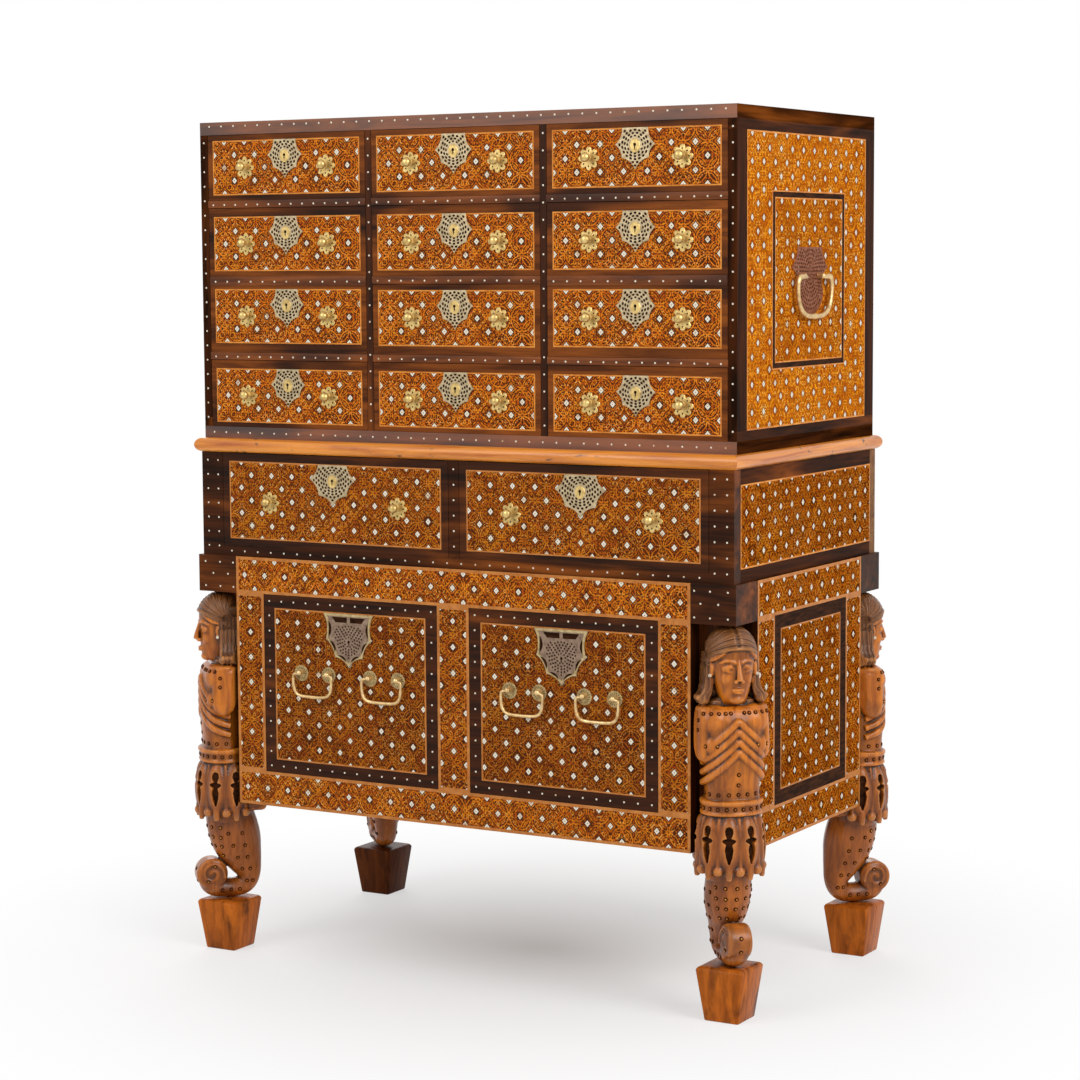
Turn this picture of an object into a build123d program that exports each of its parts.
"""Inlaid contador: a cabinet of drawers on its own stand, which stands on four carved figure legs.

Units are millimetres. +Z is up, the front faces -Y, and the origin is on the floor
under the middle of the cabinet.
"""
from build123d import *
from math import cos, pi, sin
import os

os.makedirs("parts", exist_ok=True)

# ---------------------------------------------------------------- driving dimensions
# Heights of the storeys, from the floor up.
floor_clearance = 242.0  # floor to the underside of the lower body
body_height = 388.5  # lower body, with the two deep drawers
frieze_height = 161.2  # frieze, with the two wide drawers
moulding_height = 21.5  # rounded light-wood nosing that covers the joint
cabinet_height = 486.8  # upper box of ten small drawers

# Plan sizes.
cabinet_width = 923.6
cabinet_depth = 476.0
frieze_width = 924.2
frieze_depth = 494.6
body_step = 5.5  # the body and its caps stand proud of the frieze
moulding_overhang = 8.8  # nosing beyond the frieze
moulding_width = 30.0  # nosing, measured in from its outer edge
notch_width = 71.5  # corner notch of the body, along X
notch_depth = 70.0  # corner notch of the body, along Y

# Boards of the upper box.
cabinet_top_board = 19.5
cabinet_bottom_board = 17.8
cabinet_side_board = 14.0
cabinet_back_board = 10.0
cabinet_partition = 10.6
cabinet_rail = 11.5  # dust boards, whose front edges show as rails
top_row_height = 100.5  # opening of the first row of drawers
bottom_row_height = 104.0  # opening of the fourth row

# Boards of the frieze.
frieze_board = 20.0
frieze_end_stile = 39.4
frieze_centre_stile = 18.0
frieze_bottom_rail = 15.6
frieze_partition = 12.0
frieze_dust_board = 10.0

# Boards of the lower body.
body_board = 16.0
body_front_board = 20.0
body_top_rail = 56.5
body_bottom_rail = 54.0
body_centre_stile = 55.6
body_end_stile = 51.6
body_partition = 16.0
body_runner_width = 60.0
body_guide_height = 40.0
cap_height = 57.5

# Drawers.
drawer_gap = 0.8  # shadow gap round each drawer front
running_clearance = 0.3  # under a drawer, and behind it when shut
front_thickness = 16.0
drawer_side_inset = 1.2  # drawer side in from the end of its front
drawer_side_drop = 8.0  # drawer side below the top of its front
small_drawer_board = 7.0
large_drawer_board = 10.0
drawer_bottom_board = 5.0
panel_depth = 2.0  # inlaid panel let into the drawer front
panel_side_margin = 10.0  # dark border left and right of a small panel
small_panel_height = 83.5
small_panel_drop = 13.4  # dark border over a panel
top_row_panel_drop = 9.0
frieze_panel_margin = 13.2
body_panel_margin = 20.5

# Knobs on rosettes, the small drawers' and the frieze drawers' pulls.
knob_spread = 75.0  # knob to the middle of a small drawer
knob_drop = 42.0  # panel top down to the knob
frieze_knob_spread = 117.0
frieze_knob_drop = 63.0
rosette_radius = 17.0
rosette_valley = 13.5
rosette_thickness = 1.6
rosette_points = 8
knob_radius = 7.2
knob_sides = 6
knob_reach = 21.0  # knob's nose in front of the drawer front
knob_neck_radius = 3.2
knob_neck_length = 8.0
tang_width = 3.4  # square tang through the drawer front
tang_clearance = 0.2
clench_width = 9.0
clench_thickness = 1.2

# Escutcheons: flat top, then side point, lower point and tip, as half width and drop.
plate_thickness = 1.2
arc_sag = 0.13  # hollow of each edge, as a share of that edge's length
escutcheon_top = 20.4
escutcheon_side = (32.0, 23.5)
escutcheon_lower = (21.5, 42.5)
escutcheon_tip = 59.0
frieze_escutcheon_top = 26.0
frieze_escutcheon_side = (42.5, 22.0)
frieze_escutcheon_lower = (25.4, 47.0)
frieze_escutcheon_tip = 62.0
shield_top = 45.5
shield_bar_height = 15.0
shield_window_width = 26.0
shield_window_height = 6.5
shield_window_spread = 19.0
shield_side = (40.8, 38.5)
shield_lower = (24.8, 65.0)
shield_tip = 79.5
keyhole_radius = 2.6
keyhole_sides = 6
keyhole_slot_width = 2.2
keyhole_slot_length = 7.0
keyhole_drop = 24.0
shield_keyhole_drop = 43.0
lock_width = 46.0
lock_height = 38.0
lock_thickness = 6.0
bolt_width = 14.0
bolt_height = 5.0
bolt_thickness = 3.0

# Swinging bails of the deep drawers.
bail_spread = 63.0  # middle of a bail to the middle of its drawer
bail_drop = 98.0  # panel top down to the bail's pivot
bail_post_spread = 25.2
bail_half_width = 34.0
bail_height = 34.0
bail_shoulder = 4.6
bail_bow = 17.0
bail_rod = 5.0
rod_sides = 6
bail_standoff = 9.0
bail_rosette_radius = 12.8
rosette_sides = 12
post_width = 6.4
pin_sides = 8
pivot_radius = 1.8
pivot_clearance = 0.3

# Swinging bails on the cabinet's sides.
side_pivot_drop = 241.0  # cabinet top down to the bail's pivot
side_post_spread = 32.0
side_bail_half_width = 57.0
side_bail_height = 57.0
side_bail_shoulder = 12.0
side_bail_bow = 34.0
side_bail_rod = 7.0
side_bail_standoff = 10.0
side_post_width = 8.6
side_rosette_radius = 8.0
side_pivot_radius = 2.6
side_plate_top = 41.0
side_plate_shoulder = (62.5, 29.5)
side_plate_waist = (30.0, 68.0)
side_plate_tip = 96.0
side_plate_rise = 43.5  # plate top above the pivot

# Legs.
leg_inset = 24.9  # leg axis in from the body's side
leg_inset_front = 31.0  # leg axis in from the body's front and back
foot_height = 80.3
foot_top = 74.0
foot_bottom = 51.4
post_size = 42.0  # square back post of a leg, in the body's notch
ledge_height = 19.0  # leg's ledge below the body
tail_width_top = 62.0
tail_width_bottom = 36.0
scroll_gap = [(1.5, 138.0), (-7.0, 133.0), (-11.0, 120.0), (-5.0, 111.5), (2.0, 114.0), (3.5, 126.0)]

# ---------------------------------------------------------------- levels and planes
body_z = floor_clearance
frieze_z = body_z + body_height
moulding_z = frieze_z + frieze_height
cabinet_z = moulding_z + moulding_height
top_z = cabinet_z + cabinet_height

cabinet_x = cabinet_width / 2
cabinet_y = cabinet_depth / 2
frieze_x = frieze_width / 2
frieze_y = frieze_depth / 2
body_x = frieze_x + body_step
body_y = frieze_y + body_step
notch_x = body_x - notch_width
notch_y = body_y - notch_depth
cap_z = frieze_z - cap_height
tang_hole = tang_width + 2 * tang_clearance
side_pivot_z = top_z - side_pivot_drop
leg_x = body_x - leg_inset
leg_y = body_y - leg_inset_front


# ---------------------------------------------------------------- shared shapes
def board(label, x_span, y_span, z_span):
    """A plain board between two X, two Y and two Z planes."""
    with BuildPart() as piece:
        with BuildSketch(Plane.XY.offset(z_span[0])):
            with Locations((sum(x_span) / 2, sum(y_span) / 2)):
                Rectangle(x_span[1] - x_span[0], y_span[1] - y_span[0])
        extrude(amount=z_span[1] - z_span[0])
    piece.part.label = label
    return piece.part


def save(name, pieces):
    """Writes one node: a single piece, or a group of separate pieces."""
    if len(pieces) == 1:
        node = pieces[0]
        node.label = name
    else:
        node = Compound(label=name, children=pieces)
    export_step(node, f"parts/{name}.step")


def mirrored(low, high):
    """The same span on the other side of the middle plane."""
    return (-high, -low)


# ---------------------------------------------------------------- upper box: carcass
# Top and bottom run over the sides, and the back is let in between them.
cabinet_floor = cabinet_z + cabinet_bottom_board
cabinet_ceiling = top_z - cabinet_top_board
cabinet_inner_x = cabinet_x - cabinet_side_board
cabinet_inner_back = cabinet_y - cabinet_back_board
full_x = (-cabinet_x, cabinet_x)
full_y = (-cabinet_y, cabinet_y)
inner_y = (-cabinet_y, cabinet_inner_back)
inner_z = (cabinet_floor, cabinet_ceiling)

save("cabinet_top", [board("top", full_x, full_y, (cabinet_ceiling, top_z))])
save("cabinet_bottom", [board("bottom", full_x, full_y, (cabinet_z, cabinet_floor))])
side_span = (cabinet_inner_x, cabinet_x)
for label, outer_x, inward in (("right", cabinet_x, -1), ("left", -cabinet_x, 1)):
    with BuildPart() as side_wall:
        with BuildSketch(Plane.YZ.offset(outer_x)):
            with Locations((0, sum(inner_z) / 2)):
                Rectangle(cabinet_depth, inner_z[1] - inner_z[0])
            with Locations((-side_post_spread, side_pivot_z), (side_post_spread, side_pivot_z)):
                Rectangle(tang_hole, tang_hole, mode=Mode.SUBTRACT)
        extrude(amount=inward * cabinet_side_board)
    save(f"cabinet_{label}_side", [side_wall.part])
back_x = (-cabinet_inner_x, cabinet_inner_x)
save("cabinet_back", [board("back", back_x, (cabinet_inner_back, cabinet_y), inner_z)])

# Two partitions part the box into three equal columns.
column_width = (2 * cabinet_inner_x - 2 * cabinet_partition) / 3
partition_span = (column_width / 2, column_width / 2 + cabinet_partition)
partitions = [
    board("left_partition", mirrored(*partition_span), inner_y, inner_z),
    board("right_partition", partition_span, inner_y, inner_z),
]
save("cabinet_partitions", partitions)

# Rows from the top: the two middle rows share what the first and the last leave.
first_rail_z = cabinet_ceiling - top_row_height - cabinet_rail
last_rail_z = cabinet_floor + bottom_row_height
double_row_height = first_rail_z - last_rail_z - cabinet_rail
middle_row_height = (double_row_height - cabinet_rail) / 2
middle_rail_z = last_rail_z + cabinet_rail + middle_row_height

column_pitch = column_width + cabinet_partition
columns = {"left": -column_pitch, "middle": 0.0, "right": column_pitch}
dust_boards = []
for column, column_x in columns.items():
    rails = [last_rail_z, first_rail_z]
    if column == "middle":
        rails.insert(1, middle_rail_z)
    for rail_z in rails:
        span = (column_x - column_width / 2, column_x + column_width / 2)
        piece = board(f"{column}_dust_board", span, inner_y, (rail_z, rail_z + cabinet_rail))
        dust_boards.append(piece)
save("cabinet_dust_boards", dust_boards)


# ---------------------------------------------------------------- drawers
def drawer_box(name, opening_x, opening_z, face_y, inner_depth, board_size, panels, tangs):
    """Front, two sides, back and bottom of one drawer, each its own piece.

    opening_x and opening_z are the spans that the front fills, less its shadow gap. Each
    entry of panels is the X and Z span of an inlaid panel let flush into the front, and
    tangs are the X, Z places of the square holes for the pulls.
    """
    x_span = (opening_x[0] + drawer_gap, opening_x[1] - drawer_gap)
    z_span = (opening_z[0] + running_clearance, opening_z[1] - drawer_gap)
    front_back = face_y + front_thickness
    with BuildPart() as front:
        with BuildSketch(Plane.XY.offset(z_span[0])):
            with Locations((sum(x_span) / 2, face_y + front_thickness / 2)):
                Rectangle(x_span[1] - x_span[0], front_thickness)
        extrude(amount=z_span[1] - z_span[0])
        for panel_x, panel_z in panels:
            with BuildSketch(Plane.XZ.offset(-face_y)):
                with Locations((sum(panel_x) / 2, sum(panel_z) / 2)):
                    Rectangle(panel_x[1] - panel_x[0], panel_z[1] - panel_z[0])
            extrude(amount=-panel_depth, mode=Mode.SUBTRACT)
        with BuildSketch(Plane.XZ.offset(-face_y)):
            with Locations(*tangs):
                Rectangle(tang_hole, tang_hole)
        extrude(amount=-front_thickness, mode=Mode.SUBTRACT)
    front.part.label = "front"
    pieces = [front.part]
    for panel_x, panel_z in panels:
        with BuildPart() as panel:
            with BuildSketch(Plane.XZ.offset(-face_y)):
                with Locations((sum(panel_x) / 2, sum(panel_z) / 2)):
                    Rectangle(panel_x[1] - panel_x[0], panel_z[1] - panel_z[0])
                inside = [t for t in tangs if panel_z[0] < t[1] < panel_z[1]]
                with Locations(*inside):
                    Rectangle(tang_hole, tang_hole, mode=Mode.SUBTRACT)
            extrude(amount=-panel_depth)
        panel.part.label = "inlaid_panel"
        pieces.append(panel.part)
    side_z = (z_span[0], z_span[1] - drawer_side_drop)
    side_y = (front_back, face_y + inner_depth - running_clearance)
    low_x = (x_span[0] + drawer_side_inset, x_span[0] + drawer_side_inset + board_size)
    high_x = (x_span[1] - drawer_side_inset - board_size, x_span[1] - drawer_side_inset)
    between_x = (low_x[1], high_x[0])
    between_y = (side_y[0], side_y[1] - board_size)
    pieces.append(board("left_side", low_x, side_y, side_z))
    pieces.append(board("right_side", high_x, side_y, side_z))
    pieces.append(board("back", between_x, (between_y[1], side_y[1]), side_z))
    bottom_z = (side_z[0], side_z[0] + drawer_bottom_board)
    pieces.append(board("bottom", between_x, between_y, bottom_z))
    save(f"{name}_box", pieces)


def clench_plate(plane):
    """The little square plate over which a tang is clenched, on the plane's origin."""
    with BuildPart() as clench:
        with BuildSketch(plane):
            Rectangle(clench_width, clench_width)
        extrude(amount=clench_thickness)
    clench.part.label = "clench_plate"
    return clench.part


def knob(x, z, face_y):
    """A cast knob on its pointed rosette, with a square tang and a clenched plate."""
    bulge_y = face_y - knob_reach + 0.9 * knob_radius
    with BuildPart() as pull:
        with BuildSketch(Plane.XZ.offset(-face_y)):
            with BuildLine():
                step = pi / rosette_points
                reach = [rosette_radius, rosette_valley]
                rim = [
                    (x + reach[i % 2] * sin(i * step), z + reach[i % 2] * cos(i * step))
                    for i in range(2 * rosette_points)
                ]
                Polyline(*rim, close=True)
            make_face()
        extrude(amount=rosette_thickness)
        sections = [
            (face_y - rosette_thickness, knob_neck_radius),
            (face_y - rosette_thickness - knob_neck_length, knob_neck_radius),
            (bulge_y, knob_radius),
            (face_y - knob_reach, 0.6 * knob_radius),
        ]
        for section_y, radius in sections:
            with BuildSketch(Plane.XZ.offset(-section_y)):
                with Locations((x, z)):
                    RegularPolygon(radius, knob_sides)
        loft(ruled=True)
        with BuildSketch(Plane.XZ.offset(-face_y)):
            with Locations((x, z)):
                Rectangle(tang_width, tang_width)
        extrude(amount=-front_thickness)
    pull.part.label = "knob"
    clench_origin = (x, face_y + front_thickness, z)
    return [pull.part, clench_plate(Plane(origin=clench_origin, z_dir=(0, 1, 0)))]


def hollow_edge(start, end):
    """One hollow edge of a plate, bowed in towards the middle of the plate."""
    chord = (end[0] - start[0], end[1] - start[1])
    middle = ((start[0] + end[0]) / 2, (start[1] + end[1]) / 2)
    dip = (middle[0] - chord[1] * arc_sag, middle[1] + chord[0] * arc_sag)
    ThreePointArc(start, dip, end)


def keyhole_cut(x, z):
    """Removes a keyhole from the sketch in hand: a filed eye over a slot."""
    with Locations((x, z)):
        RegularPolygon(keyhole_radius, keyhole_sides, mode=Mode.SUBTRACT)
    with Locations((x, z - keyhole_slot_length / 2)):
        Rectangle(keyhole_slot_width, keyhole_slot_length, mode=Mode.SUBTRACT)


def escutcheon(x, top, face_y, top_half, side, lower, tip):
    """A star-edged lock plate that hangs from its flat top edge."""
    with BuildPart() as plate:
        with BuildSketch(Plane.XZ.offset(-face_y)):
            with BuildLine():
                left = [(-top_half, 0), (-side[0], -side[1]), (-lower[0], -lower[1]), (0, -tip)]
                right = [(-px, pz) for px, pz in reversed(left[:-1])]
                rim = [(x + px, top + pz) for px, pz in left + right]
                for start, end in zip(rim, rim[1:]):
                    hollow_edge(start, end)
                Line(rim[-1], rim[0])
            make_face()
            keyhole_cut(x, top - keyhole_drop)
        extrude(amount=plate_thickness)
    plate.part.label = "escutcheon"
    return plate.part


def shield(x, top, face_y):
    """The deep drawers' larger lock plate, under a pierced bar."""
    with BuildPart() as plate:
        with BuildSketch(Plane.XZ.offset(-face_y)):
            bar_low = top - shield_bar_height
            with BuildLine():
                left = [(-shield_top, 0), (-shield_top, -shield_bar_height)]
                arcs = [left[1], (-shield_side[0], -shield_side[1])]
                arcs += [(-shield_lower[0], -shield_lower[1]), (0, -shield_tip)]
                arcs += [(-px, pz) for px, pz in reversed(arcs[:-1])]
                rim = [(x + px, top + pz) for px, pz in arcs]
                for start, end in zip(rim, rim[1:]):
                    hollow_edge(start, end)
                corner = (x + shield_top, top)
                Polyline(rim[-1], corner, (x - shield_top, top), rim[0])
            make_face()
            with Locations(
                (x - shield_window_spread, (top + bar_low) / 2),
                (x + shield_window_spread, (top + bar_low) / 2),
            ):
                Rectangle(shield_window_width, shield_window_height, mode=Mode.SUBTRACT)
            keyhole_cut(x, top - shield_keyhole_drop)
        extrude(amount=plate_thickness)
    plate.part.label = "shield_plate"
    return plate.part


def lock(x, z, face_y, bolt_top):
    """Lock case on the back of a drawer front, with its bolt drawn down inside it."""
    back_y = face_y + front_thickness
    low_z = bolt_top - bolt_height
    case = board(
        "lock_case",
        (x - lock_width / 2, x + lock_width / 2),
        (back_y, back_y + lock_thickness),
        (min(z, low_z) - lock_height / 2, low_z),
    )
    middle_y = back_y + lock_thickness / 2
    bolt = board(
        "lock_bolt",
        (x - bolt_width / 2, x + bolt_width / 2),
        (middle_y - bolt_thickness / 2, middle_y + bolt_thickness / 2),
        (low_z, bolt_top),
    )
    return [case, bolt]


def small_drawer(name, column_x, opening_z, panel_tops, inner_depth):
    """One drawer of the upper box. Its front shows one panel, or two over each other."""
    opening_x = (column_x - column_width / 2, column_x + column_width / 2)
    half_panel = column_width / 2 - panel_side_margin
    panel_x = (column_x - half_panel, column_x + half_panel)
    panels = [(panel_x, (top - small_panel_height, top)) for top in panel_tops]
    tangs = []
    mounts = []
    for top in panel_tops:
        for x in (column_x - knob_spread, column_x + knob_spread):
            tangs.append((x, top - knob_drop))
            mounts += knob(x, top - knob_drop, -cabinet_y)
        mounts.append(
            escutcheon(
                column_x,
                top,
                -cabinet_y,
                escutcheon_top,
                escutcheon_side,
                escutcheon_lower,
                escutcheon_tip,
            )
        )
    bolt_top = opening_z[1] - drawer_gap
    mounts += lock(column_x, panel_tops[0] - keyhole_drop, -cabinet_y, bolt_top)
    drawer_box(
        name, opening_x, opening_z, -cabinet_y, inner_depth, small_drawer_board, panels, tangs
    )
    save(f"{name}_mounts", mounts)


# Ten drawers show twelve fronts: in the outer columns the middle two rows are one drawer.
cabinet_inner_depth = cabinet_depth - cabinet_back_board
first_row = (first_rail_z + cabinet_rail, cabinet_ceiling)
second_row = (middle_rail_z + cabinet_rail, first_rail_z)
third_row = (last_rail_z + cabinet_rail, middle_rail_z)
double_row = (last_rail_z + cabinet_rail, first_rail_z)
fourth_row = (cabinet_floor, last_rail_z)
second_panel = first_rail_z - small_panel_drop
third_panel = middle_rail_z - small_panel_drop + cabinet_rail / 2
fourth_panel = last_rail_z - small_panel_drop
for column, column_x in columns.items():
    small_drawer(
        f"{column}_drawer_1",
        column_x,
        first_row,
        [cabinet_ceiling - top_row_panel_drop],
        cabinet_inner_depth,
    )
    if column == "middle":
        small_drawer("middle_drawer_2", 0.0, second_row, [second_panel], cabinet_inner_depth)
        small_drawer(
            "middle_drawer_3", 0.0, third_row, [middle_rail_z - top_row_panel_drop], cabinet_inner_depth
        )
    else:
        small_drawer(
            f"{column}_double_drawer",
            column_x,
            double_row,
            [second_panel, third_panel],
            cabinet_inner_depth,
        )
    small_drawer(
        f"{column}_drawer_4", column_x, fourth_row, [fourth_panel], cabinet_inner_depth
    )

# ---------------------------------------------------------------- nosing and stand top
# Four mitred lengths with a round outer edge, and a core board between them.
outer_x = frieze_x + moulding_overhang
outer_y = frieze_y + moulding_overhang
core_x = outer_x - moulding_width
core_y = outer_y - moulding_width
nosing_radius = moulding_height / 2 - 0.05


def nosing(label, plan, long_axis, outer_edges):
    """One mitred length of nosing with its outer edge rounded."""
    with BuildPart() as piece:
        with BuildSketch(Plane.XY.offset(moulding_z)):
            with BuildLine():
                Polyline(*plan, close=True)
            make_face()
        extrude(amount=moulding_height)
        long_edges = piece.edges().filter_by(long_axis)
        fillet(outer_edges(long_edges), nosing_radius)
    piece.part.label = label
    return piece.part


front_plan = [(-outer_x, -outer_y), (outer_x, -outer_y), (core_x, -core_y), (-core_x, -core_y)]
side_plan = [(outer_x, -outer_y), (outer_x, outer_y), (core_x, core_y), (core_x, -core_y)]
back_plan = [(-px, -py) for px, py in front_plan]
left_plan = [(-px, -py) for px, py in side_plan]
nosings = [
    nosing("front_nosing", front_plan, Axis.X, lambda e: e.group_by(Axis.Y)[0]),
    nosing("back_nosing", back_plan, Axis.X, lambda e: e.group_by(Axis.Y)[-1]),
    nosing("right_nosing", side_plan, Axis.Y, lambda e: e.group_by(Axis.X)[-1]),
    nosing("left_nosing", left_plan, Axis.Y, lambda e: e.group_by(Axis.X)[0]),
]
save("table_nosing", nosings)
moulding_span = (moulding_z, cabinet_z)
save("stand_top", [board("stand_top", (-core_x, core_x), (-core_y, core_y), moulding_span)])

# ---------------------------------------------------------------- frieze
frieze_inner_x = frieze_x - frieze_board
frieze_inner_y = frieze_y - frieze_board
frieze_floor = frieze_z + frieze_bottom_rail
frieze_face_y = (-frieze_y, -frieze_inner_y)
frieze_span = (frieze_z, moulding_z)
opening_span = (frieze_floor, moulding_z)
end_stile_x = (frieze_x - frieze_end_stile, frieze_x)
half_stile = frieze_centre_stile / 2
frieze_front = [
    board("bottom_rail", (-frieze_x, frieze_x), frieze_face_y, (frieze_z, frieze_floor)),
    board("right_stile", end_stile_x, frieze_face_y, opening_span),
    board("left_stile", mirrored(*end_stile_x), frieze_face_y, opening_span),
    board("centre_stile", (-half_stile, half_stile), frieze_face_y, opening_span),
]
save("frieze_front_frame", frieze_front)
frieze_side_x = (frieze_inner_x, frieze_x)
frieze_side_y = (-frieze_inner_y, frieze_inner_y)
frieze_sides = [
    board("right_side", frieze_side_x, frieze_side_y, frieze_span),
    board("left_side", mirrored(*frieze_side_x), frieze_side_y, frieze_span),
]
save("frieze_sides", frieze_sides)
frieze_back_y = (frieze_inner_y, frieze_y)
save("frieze_back", [board("back", (-frieze_x, frieze_x), frieze_back_y, frieze_span)])

# The dust board closes the body below, and the guides keep the drawers in line.
dust_z = (frieze_floor - frieze_dust_board, frieze_floor)
dust_x = (-frieze_inner_x, frieze_inner_x)
guide_x = (frieze_x - frieze_end_stile, frieze_inner_x)
half_partition = frieze_partition / 2
frieze_inside = [
    board("dust_board", dust_x, frieze_side_y, dust_z),
    board("partition", (-half_partition, half_partition), frieze_side_y, opening_span),
    board("right_guide", guide_x, frieze_side_y, opening_span),
    board("left_guide", mirrored(*guide_x), frieze_side_y, opening_span),
]
save("frieze_dust_board_and_guides", frieze_inside)


def frieze_drawer(name, side):
    """One of the two wide drawers of the frieze, left or right of the centre stile."""
    near = half_stile
    far = frieze_x - frieze_end_stile
    opening_x = (near, far) if side > 0 else (-far, -near)
    middle = sum(opening_x) / 2
    panel_x = (opening_x[0] + frieze_panel_margin, opening_x[1] - frieze_panel_margin)
    panel_top = moulding_z - frieze_panel_margin
    panel_z = (frieze_floor + frieze_panel_margin - 2 * drawer_gap, panel_top)
    tang_z = panel_top - frieze_knob_drop
    tangs = [(middle - frieze_knob_spread, tang_z), (middle + frieze_knob_spread, tang_z)]
    mounts = []
    for x, z in tangs:
        mounts += knob(x, z, -frieze_y)
    mounts.append(
        escutcheon(
            middle,
            panel_top - drawer_gap,
            -frieze_y,
            frieze_escutcheon_top,
            frieze_escutcheon_side,
            frieze_escutcheon_lower,
            frieze_escutcheon_tip,
        )
    )
    bolt_top = moulding_z - drawer_gap
    mounts += lock(middle, panel_top - keyhole_drop, -frieze_y, bolt_top)
    depth = frieze_y + frieze_inner_y
    drawer_box(
        name,
        opening_x,
        opening_span,
        -frieze_y,
        depth,
        large_drawer_board,
        [(panel_x, panel_z)],
        tangs,
    )
    save(f"{name}_mounts", mounts)


frieze_drawer("frieze_left_drawer", -1)
frieze_drawer("frieze_right_drawer", 1)

# ---------------------------------------------------------------- lower body
# Cross-shaped in plan: its four corners are notched for the legs and their caps.
body_inner_x = body_x - body_board
body_inner_y = body_y - body_front_board
body_back_y = body_y - body_board
body_floor = body_z + body_board
body_opening = (body_z + body_bottom_rail, frieze_z - body_top_rail)
body_face_y = (-body_y, -body_inner_y)
front_x = (-notch_x, notch_x)
end_stile_inner = notch_x - body_end_stile
half_centre = body_centre_stile / 2
body_front = [
    board("bottom_rail", front_x, body_face_y, (body_z, body_opening[0])),
    board("top_rail", front_x, body_face_y, (body_opening[1], frieze_z)),
    board("right_stile", (end_stile_inner, notch_x), body_face_y, body_opening),
    board("left_stile", (-notch_x, -end_stile_inner), body_face_y, body_opening),
    board("centre_stile", (-half_centre, half_centre), body_face_y, body_opening),
]
save("body_front_frame", body_front)

body_span = (body_z, frieze_z)
body_side_x = (body_inner_x, body_x)
body_side_y = (-notch_y, notch_y)
body_sides = [
    board("right_side", body_side_x, body_side_y, body_span),
    board("left_side", mirrored(*body_side_x), body_side_y, body_span),
]
save("body_sides", body_sides)
save("body_back", [board("back", front_x, (body_back_y, body_y), body_span)])

# Two boards line each notch, one facing sideways and one facing front or back.
cheek_x = (notch_x - body_board, notch_x)
cheek_front_y = (-body_inner_y, -notch_y + body_board)
cheek_back_y = (notch_y - body_board, body_back_y)
return_x = (notch_x, body_inner_x)
return_y = (notch_y - body_board, notch_y)
notch_boards = []
for label, flip_x in (("right", False), ("left", True)):
    cheek = mirrored(*cheek_x) if flip_x else cheek_x
    ret = mirrored(*return_x) if flip_x else return_x
    notch_boards.append(board(f"front_{label}_cheek", cheek, cheek_front_y, body_span))
    notch_boards.append(board(f"back_{label}_cheek", cheek, cheek_back_y, body_span))
    notch_boards.append(board(f"front_{label}_return", ret, mirrored(*return_y), body_span))
    notch_boards.append(board(f"back_{label}_return", ret, return_y, body_span))
save("body_notch_boards", notch_boards)

# Bottom board: a plain rectangle with a wing into each side of the cross.
wing_y = notch_y - body_board
core_half_x = notch_x - body_board
bottom_z = (body_z, body_floor)
bottoms = [
    board("bottom", (-core_half_x, core_half_x), (-body_inner_y, body_back_y), bottom_z),
    board("right_wing", (core_half_x, body_inner_x), (-wing_y, wing_y), bottom_z),
    board("left_wing", (-body_inner_x, -core_half_x), (-wing_y, wing_y), bottom_z),
]
save("body_bottom_boards", bottoms)

# Partition, runners under the deep drawers, and guides beside them.
run_y = (-body_inner_y, body_back_y)
half_body_partition = body_partition / 2
runner_z = (body_floor, body_opening[0])
guide_z = (body_opening[0], body_opening[0] + body_guide_height)
inner_runner = (half_body_partition, half_body_partition + body_runner_width)
outer_runner = (core_half_x - body_runner_width, core_half_x)
inner_guide = (half_body_partition, half_centre)
outer_guide = (end_stile_inner, core_half_x)
partition_z = (body_floor, frieze_z)
body_inside = [
    board("partition", (-half_body_partition, half_body_partition), run_y, partition_z),
]
for label, span, height in (
    ("inner_runner", inner_runner, runner_z),
    ("outer_runner", outer_runner, runner_z),
    ("inner_guide", inner_guide, guide_z),
    ("outer_guide", outer_guide, guide_z),
):
    body_inside.append(board(f"right_{label}", span, run_y, height))
    body_inside.append(board(f"left_{label}", mirrored(*span), run_y, height))
save("body_partition_and_runners", body_inside)

# Dark cap blocks fill the notches over the legs.
caps = []
for side_x in ((notch_x, body_x), (-body_x, -notch_x)):
    for side_y in ((notch_y, body_y), (-body_y, -notch_y)):
        caps.append(board("cap", side_x, side_y, (cap_z, frieze_z)))
save("corner_caps", caps)


# ---------------------------------------------------------------- bails
def bail_line(post, half_width, height):
    """Half outline of a bail: out from the post, down its arm and in along the bow.

    The points are X from the middle and drop below the pivot.
    """
    return [(post, 0.0), (half_width, 0.0), (half_width, -height)]


def bail(name, plane, post, half_width, height, shoulder, bow, rod, pin_radius, pin_length):
    """A swinging bail drawn on a plane whose origin is the middle of its pivot line."""
    half = bail_line(post, half_width, height)
    path_points = half + [(-px, pz) for px, pz in reversed(half)]
    radii = [shoulder, bow]
    with BuildPart() as piece:
        with BuildLine(plane) as path:
            FilletPolyline(*path_points, radius=radii + radii[::-1])
        start = path.line @ 0
        start_plane = Plane(origin=start, z_dir=path.line % 0)
        with BuildSketch(start_plane):
            RegularPolygon(rod / 2, rod_sides)
        sweep(path=path.line)
        for sign in (-1, 1):
            pin_origin = plane.from_local_coords((sign * post, 0, 0))
            with BuildSketch(Plane(origin=pin_origin, z_dir=plane.x_dir * -sign)):
                RegularPolygon(pin_radius, pin_sides)
            extrude(amount=pin_length)
    save(name, [piece.part])


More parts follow.
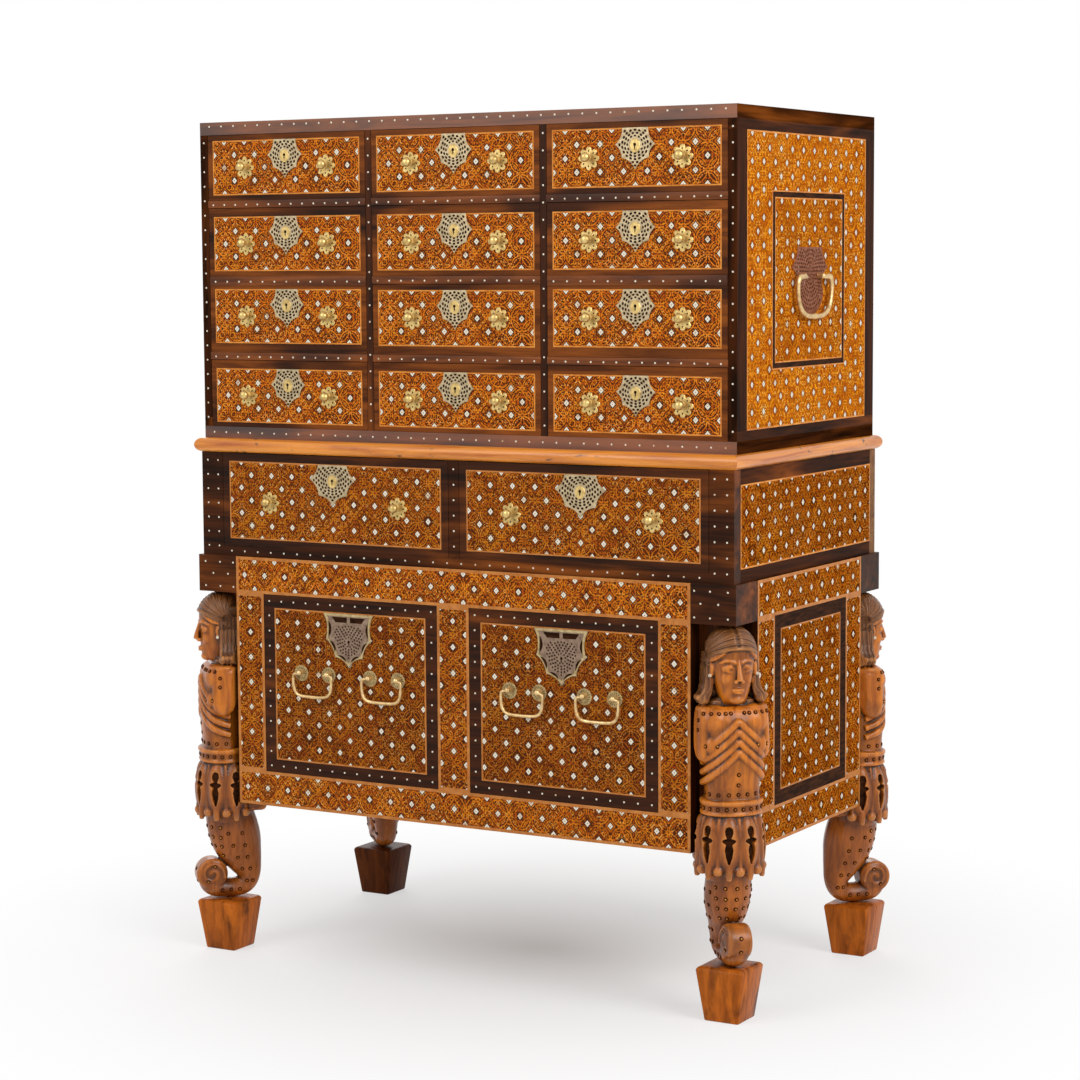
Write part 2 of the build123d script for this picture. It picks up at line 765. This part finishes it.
def bail_post(plane, x, standoff, width, bore_radius, foot_radius, wall):
    """A post on a round rosette, bored across for the bail's pin.

    Its square tang runs through the wall and is clenched over a plate on the far side.
    """
    foot_plane = plane.offset(-standoff)
    with BuildPart() as post:
        with BuildSketch(foot_plane):
            with Locations((x, 0)):
                RegularPolygon(foot_radius, rosette_sides)
        extrude(amount=rosette_thickness)
        with BuildSketch(plane.offset(rosette_thickness - standoff)):
            with Locations((x, 0)):
                Rectangle(width, width)
        extrude(amount=standoff + width / 2 - rosette_thickness)
        with BuildSketch(foot_plane):
            with Locations((x, 0)):
                Rectangle(tang_width, tang_width)
        extrude(amount=-wall)
        bore_origin = plane.from_local_coords((x, 0, 0))
        with BuildSketch(Plane(origin=bore_origin, z_dir=plane.x_dir)):
            RegularPolygon(bore_radius, pin_sides)
        extrude(amount=width, both=True, mode=Mode.SUBTRACT)
    post.part.label = "bail_post"
    far_origin = plane.offset(-standoff - wall).from_local_coords((x, 0, 0))
    return [post.part, clench_plate(Plane(origin=far_origin, z_dir=-plane.z_dir))]


def deep_drawer(name, side):
    """One of the two deep drawers of the body, with its shield plate and two bails."""
    opening_x = (half_centre, end_stile_inner) if side > 0 else (-end_stile_inner, -half_centre)
    middle = sum(opening_x) / 2
    panel_x = (opening_x[0] + body_panel_margin, opening_x[1] - body_panel_margin)
    panel_top = body_opening[1] - body_panel_margin
    panel_z = (body_opening[0] + body_panel_margin, panel_top)
    pivot_z = panel_top - bail_drop
    mounts = [shield(middle, panel_top - 2 * drawer_gap, -body_y)]
    tangs = []
    for label, sign in (("left", -1), ("right", 1)):
        origin = (middle + sign * bail_spread, -body_y - bail_standoff, pivot_z)
        pivot_plane = Plane(origin=origin, x_dir=(1, 0, 0), z_dir=(0, -1, 0))
        pin_length = post_width / 2
        post_edge = bail_post_spread + post_width / 2 + pivot_clearance
        bail(
            f"{name}_{label}_bail",
            pivot_plane,
            post_edge,
            bail_half_width,
            bail_height,
            bail_shoulder,
            bail_bow,
            bail_rod,
            pivot_radius,
            pin_length + pivot_clearance,
        )
        for post_x in (-bail_post_spread, bail_post_spread):
            tangs.append((origin[0] + post_x, pivot_z))
            mounts += bail_post(
                pivot_plane,
                post_x,
                bail_standoff,
                post_width,
                pivot_radius + pivot_clearance,
                bail_rosette_radius,
                front_thickness,
            )
    bolt_top = body_opening[1] - drawer_gap
    mounts += lock(middle, panel_top - shield_keyhole_drop, -body_y, bolt_top)
    depth = body_y + body_back_y
    drawer_box(
        name,
        opening_x,
        body_opening,
        -body_y,
        depth,
        large_drawer_board,
        [(panel_x, panel_z)],
        tangs,
    )
    save(f"{name}_mounts", mounts)


deep_drawer("deep_left_drawer", -1)
deep_drawer("deep_right_drawer", 1)

# Cabinet sides: a pierced plate, two posts and a larger bail on each.
side_mounts = []
for label, sign in (("right", 1), ("left", -1)):
    wall_plane = Plane(
        origin=(sign * cabinet_x, 0, side_pivot_z), x_dir=(0, sign, 0), z_dir=(sign, 0, 0)
    )
    with BuildPart() as plate:
        with BuildSketch(wall_plane):
            with BuildLine():
                left = [(-side_plate_top, 0.0), (-side_plate_shoulder[0], -side_plate_shoulder[1])]
                left += [(-side_plate_waist[0], -side_plate_waist[1]), (0.0, -side_plate_tip)]
                right = [(-px, pz) for px, pz in reversed(left[:-1])]
                rim = [(px, side_plate_rise + pz) for px, pz in left + right]
                for start, end in zip(rim, rim[1:]):
                    hollow_edge(start, end)
                Line(rim[-1], rim[0])
            make_face()
            with Locations((-side_post_spread, 0), (side_post_spread, 0)):
                Rectangle(tang_hole, tang_hole, mode=Mode.SUBTRACT)
        extrude(amount=plate_thickness)
    plate.part.label = f"{label}_backplate"
    side_mounts.append(plate.part)
    pivot_plane = wall_plane.offset(side_bail_standoff)
    for post_y in (-side_post_spread, side_post_spread):
        side_mounts += bail_post(
            pivot_plane,
            post_y,
            side_bail_standoff - plate_thickness,
            side_post_width,
            side_pivot_radius + pivot_clearance,
            side_rosette_radius,
            cabinet_side_board + plate_thickness,
        )
    bail(
        f"cabinet_{label}_bail",
        pivot_plane,
        side_post_spread + side_post_width / 2 + pivot_clearance,
        side_bail_half_width,
        side_bail_height,
        side_bail_shoulder,
        side_bail_bow,
        side_bail_rod,
        side_pivot_radius,
        side_post_width / 2 + pivot_clearance,
    )
save("cabinet_side_handle_mounts", side_mounts)

# ---------------------------------------------------------------- legs
# Each leg is one carved timber that faces out along the diagonal of its corner. In its own
# frame u runs outwards along that diagonal, v across it, and z is the height over the floor.
# Sections of the figure, from the ledge under the skirt to the crown: z, back u, front u
# and half width.
skirt_sections = [
    (body_z - ledge_height - 1.0, -36.0, 44.0, 38.0),
    (body_z - ledge_height + 14.0, -44.0, 52.0, 49.0),
    (290.0, -40.0, 51.0, 47.0),
    (309.0, -38.0, 46.0, 46.0),
]
belt_sections = [(309.0, -36.0, 42.5, 43.0), (334.0, -36.0, 42.5, 43.0)]
torso_sections = [
    (332.0, -36.0, 38.5, 38.0),
    (372.0, -38.0, 41.0, 45.0),
    (402.0, -38.0, 40.5, 54.0),
    (440.0, -38.0, 37.5, 53.0),
    (463.0, -28.0, 24.0, 34.0),
]
head_sections = [
    (459.0, -14.0, 32.0, 14.0),
    (472.0, -26.0, 38.0, 25.0),
    (505.0, -34.0, 42.0, 33.0),
    (548.0, -32.0, 38.0, 32.0),
    (572.0, -10.0, 14.0, 11.0),
]
hair_sections = [
    (458.0, -40.0, 4.0, 40.0),
    (500.0, -40.0, 14.0, 37.0),
    (540.0, -38.0, 23.0, 37.0),
    (cap_z - 0.2, -16.0, 14.0, 14.0),
]


def leg(name, side_x, side_y):
    """A whole leg at the corner given by the signs of its X and Y."""
    axis = (side_x * leg_x, side_y * leg_y, 0)
    plan = Plane(origin=axis, x_dir=(side_x, side_y, 0), z_dir=(0, 0, 1))
    profile = Plane(origin=axis, x_dir=(side_x, side_y, 0), z_dir=(side_y, -side_x, 0))
    face = Plane(origin=axis, x_dir=(-side_y, side_x, 0), z_dir=(side_x, side_y, 0))
    tail_top = body_z - ledge_height + 6.0
    with BuildPart() as timber:
        # The scrolled tail is sawn from the side first, then from the front.
        with BuildSketch(profile):
            with BuildLine():
                outer = Spline((39.0, tail_top), (34.3, 188.0), (28.0, 165.0), (19.0, 147.5))
                scroll = Spline(
                    outer @ 1, (33.0, 147.0), (46.0, 138.0), (53.0, 120.0), (48.4, 101.0), (36.0, foot_height)
                )
                sole = Line(scroll @ 1, (-27.0, foot_height))
                inner = Spline(
                    sole @ 1, (-41.0, 97.5), (-50.0, 117.0), (-54.0, 145.0), (-49.0, 183.0), (-40.0, 209.0), (-40.0, tail_top)
                )
                Line(inner @ 1, outer @ 0)
            make_face()
            with BuildLine():
                Polyline(*scroll_gap, close=True)
            make_face(mode=Mode.SUBTRACT)
        extrude(amount=tail_width_top / 2, both=True)
        with BuildSketch(face):
            with BuildLine():
                top_half = tail_width_top / 2
                low_half = tail_width_bottom / 2
                right = Spline((top_half, tail_top), (0.94 * top_half, 188.0), (low_half, 147.0))
                down = Line(right @ 1, (low_half, foot_height))
                across = Line(down @ 1, (-low_half, foot_height))
                up = Line(across @ 1, (-low_half, 147.0))
                left = Spline(up @ 1, (-0.94 * top_half, 188.0), (-top_half, tail_top))
                Line(left @ 1, right @ 0)
            make_face()
        extrude(amount=foot_top, both=True, mode=Mode.INTERSECT)
        # The figure, built up from rounded sections.
        for sections in (
            skirt_sections,
            belt_sections,
            torso_sections,
            head_sections,
            hair_sections,
        ):
            for z, back, front, half in sections:
                with BuildSketch(plan.offset(z)):
                    with Locations(((back + front) / 2, 0)):
                        Ellipse((front - back) / 2, half)
            loft()
        # The ledge runs in under the body, and the back post stands in its notch.
        post_middle = (
            side_x * (notch_x + post_size / 2),
            side_y * (notch_y + post_size / 2),
        )
        with BuildSketch(Plane.XY.offset(body_z - ledge_height)):
            with Locations(post_middle):
                Rectangle(post_size, post_size)
        extrude(amount=cap_z - body_z + ledge_height)
        # Above the ledge its back is sawn away where the body's notch walls stand.
        with BuildSketch(Plane.XY.offset(body_z)):
            Rectangle(2 * notch_x, 2 * body_y)
            Rectangle(2 * body_x, 2 * notch_y)
        extrude(amount=cap_z - body_z, mode=Mode.SUBTRACT)
        # The foot tapers down to the floor, square to the cabinet.
        for z, size in ((0, foot_bottom), (foot_height, foot_top)):
            with BuildSketch(Plane.XY.offset(z)):
                with Locations((side_x * leg_x, side_y * leg_y)):
                    Rectangle(size, size)
        loft(ruled=True)
    save(name, [timber.part])


leg("front_right_leg", 1, -1)
leg("front_left_leg", -1, -1)
leg("back_right_leg", 1, 1)
leg("back_left_leg", -1, 1)
